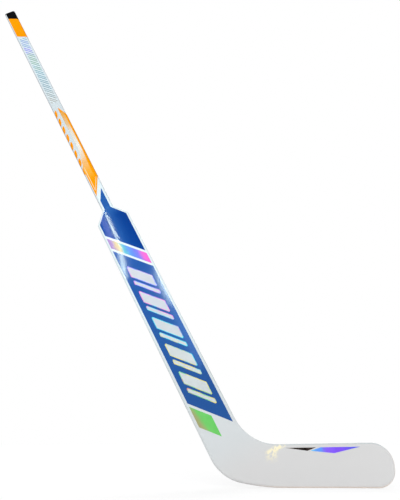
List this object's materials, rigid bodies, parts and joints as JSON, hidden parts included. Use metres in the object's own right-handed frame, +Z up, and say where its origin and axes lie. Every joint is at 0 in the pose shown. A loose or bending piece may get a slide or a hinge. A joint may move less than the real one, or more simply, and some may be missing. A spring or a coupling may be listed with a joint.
{
  "type": "hockey goalie stick",
  "caption": "Composite ice hockey goalie stick: wide foam-cored paddle flowing into a curved blade, hollow rectangular shaft and a pull-out butt end plug.",
  "frame": {"origin": "on the flat of the sole near its heel end, halfway through the thickness of the blade", "axes": "+X from heel to toe along the sole, +Y from the forehand face to the backhand face, +Z up from the sole"},
  "size_m": [1.0274, 0.0326, 1.3467],
  "materials": {
    "white_shaft": "clear-coated white",
    "white_laminate": "clear-coated white",
    "black_plug": "moulded satin",
    "foam": "cut foam",
    "carbon": "bare laminate",
    "orange_print": "gloss print",
    "silver_foil": "iridescent foil",
    "blue_print": "gloss print",
    "iridescent_foil": "iridescent foil",
    "green_foil": "iridescent foil",
    "dark_print": "gloss print",
    "violet_foil": "iridescent foil"
  },
  "bodies": {
    "stick": {"shaft_tube": "white_shaft", "front_shell": "white_laminate", "back_shell": "white_laminate", "paddle_core_heel_side": "foam", "paddle_core_toe_side": "foam", "paddle_web": "carbon", "heel_core": "foam", "blade_core_lower": "foam", "blade_stringer": "carbon", "blade_core_upper": "foam", "butt_wrap": "dark_print", "upper_wrap": "orange_print", "lower_wrap": "orange_print", "shaft_foil": "silver_foil", "crown_film_front": "blue_print", "crown_film_back": "blue_print", "band_foil_front": "iridescent_foil", "band_foil_back": "iridescent_foil", "panel_film_front": "blue_print", "panel_film_back": "blue_print", "heel_foil": "green_foil", "dark_film": "dark_print", "violet_foil": "violet_foil"},
    "plug": {"end_plug": "black_plug"}
  },
  "joints": [
    {"name": "plug_pull", "type": "slide", "parent": "stick", "child": "plug", "axis": [-0.4602, 0, 0.8878], "range_m": [0, 0.06]}
  ]
}
